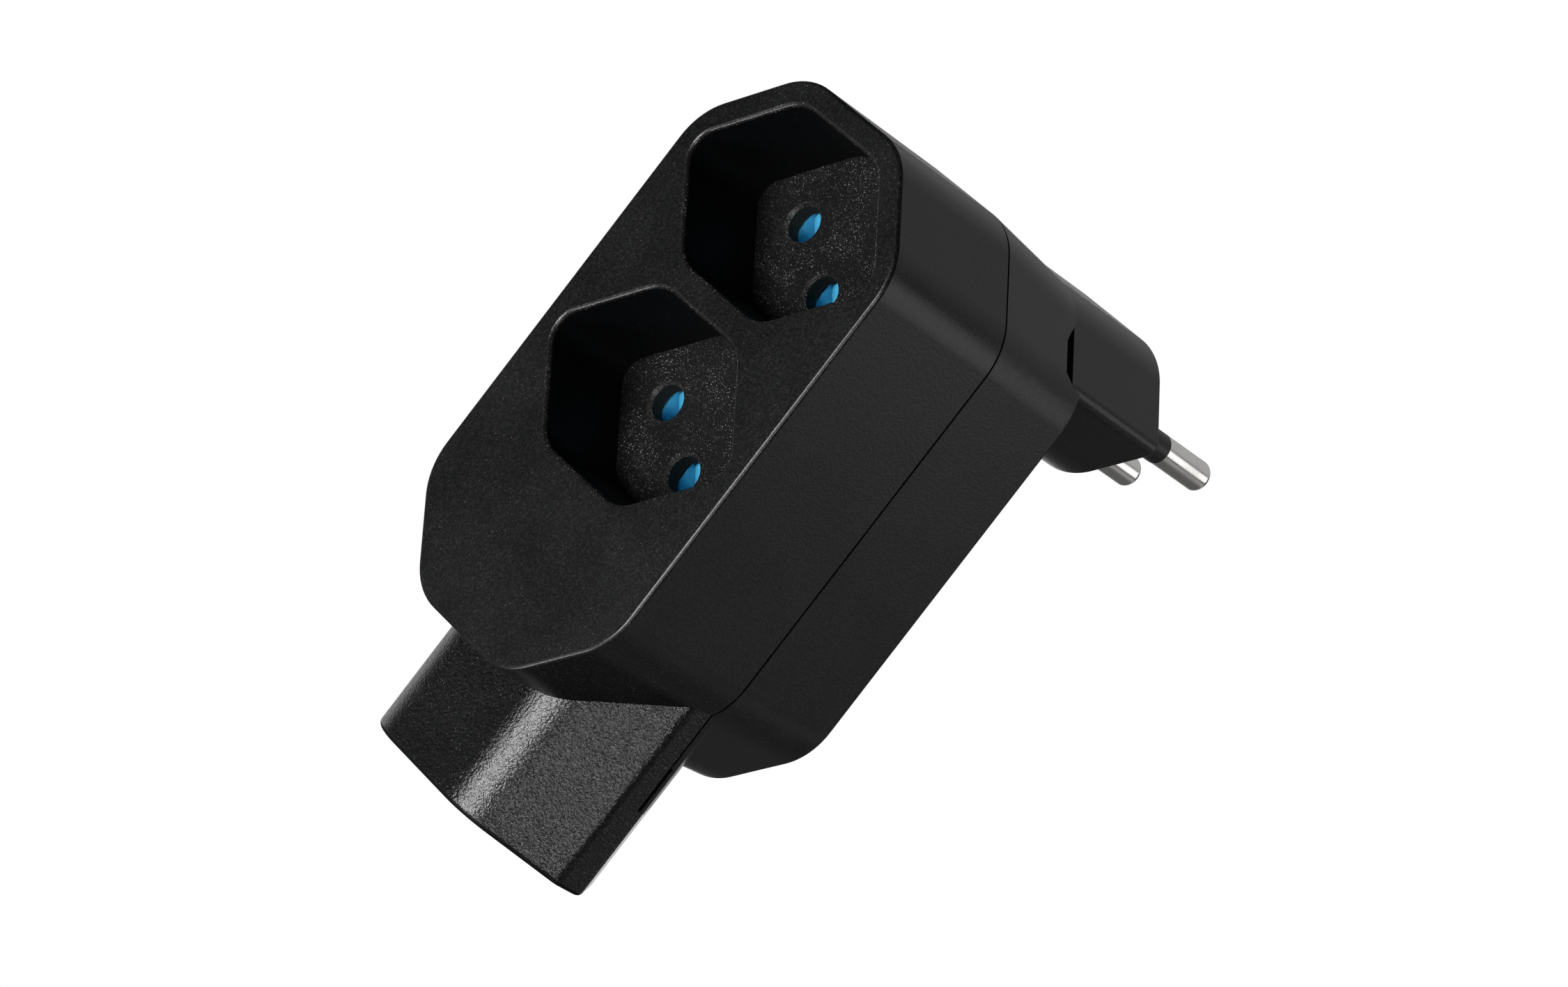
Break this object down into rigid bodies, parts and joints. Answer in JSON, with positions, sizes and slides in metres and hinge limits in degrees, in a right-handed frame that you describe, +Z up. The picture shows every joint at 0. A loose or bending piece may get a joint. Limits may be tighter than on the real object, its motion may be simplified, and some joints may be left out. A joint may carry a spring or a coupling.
{
  "type": "multi socket adapter",
  "caption": "Black mains adapter with two hexagonal sockets in front, one in a collar below and a round-pin plug on the back.",
  "frame": {"origin": "on the plug's face, midway between the line and the neutral pin", "axes": "+Y out of the plug along its pins, +Z up the body, +X to the right for someone who faces the two front sockets"},
  "size_m": [0.0426, 0.0759, 0.0925],
  "materials": {
    "body_black": "fine grained black moulding",
    "collar_black": "smooth black moulding",
    "pin_nickel": "bright nickel plating",
    "shutter_blue": "smooth light blue moulding",
    "carrier_grey": "plain grey moulding",
    "contact_brass": "bare stamped sheet",
    "spring_steel": "drawn wire",
    "screw_steel": "zinc plated"
  },
  "bodies": {
    "adapter": {"front_cover": "body_black", "back_shell": "body_black", "lower_socket_housing": "body_black", "plug_body": "body_black", "line_pin": "pin_nickel", "neutral_pin": "pin_nickel", "earth_pin": "pin_nickel", "line_pin_collar": "collar_black", "neutral_pin_collar": "collar_black", "case_screws": "screw_steel", "contact_carrier": "carrier_grey", "lower_contact_carrier": "carrier_grey", "line_bus_bar": "contact_brass", "neutral_bus_bar": "contact_brass", "earth_bus_bar": "contact_brass", "upper_line_contact": "contact_brass", "upper_neutral_contact": "contact_brass", "upper_earth_contact": "contact_brass", "middle_line_contact": "contact_brass", "middle_neutral_contact": "contact_brass", "middle_earth_contact": "contact_brass", "lower_line_contact": "contact_brass", "lower_neutral_contact": "contact_brass", "lower_earth_contact": "contact_brass", "upper_shutter_guide": "carrier_grey", "middle_shutter_guide": "carrier_grey", "lower_shutter_guide": "carrier_grey", "upper_shutter_spring": "spring_steel", "middle_shutter_spring": "spring_steel", "lower_shutter_spring": "spring_steel"},
    "upper_shutter": {"upper_shutter": "shutter_blue"},
    "middle_shutter": {"middle_shutter": "shutter_blue"},
    "lower_shutter": {"lower_shutter": "shutter_blue"}
  },
  "joints": [
    {"name": "upper_shutter_slide", "type": "slide", "parent": "adapter", "child": "upper_shutter", "axis": [0, 0, 1], "range_m": [0, 0.0046], "stiffness_N_per_m": 60, "springref_m": -0.004, "deforming": ["upper_shutter_spring"]},
    {"name": "middle_shutter_slide", "type": "slide", "parent": "adapter", "child": "middle_shutter", "axis": [0, 0, 1], "range_m": [0, 0.0046], "stiffness_N_per_m": 60, "springref_m": -0.004, "deforming": ["middle_shutter_spring"]},
    {"name": "lower_shutter_slide", "type": "slide", "parent": "adapter", "child": "lower_shutter", "axis": [0, -1, 0], "range_m": [0, 0.0046], "stiffness_N_per_m": 60, "springref_m": -0.004, "deforming": ["lower_shutter_spring"]}
  ]
}
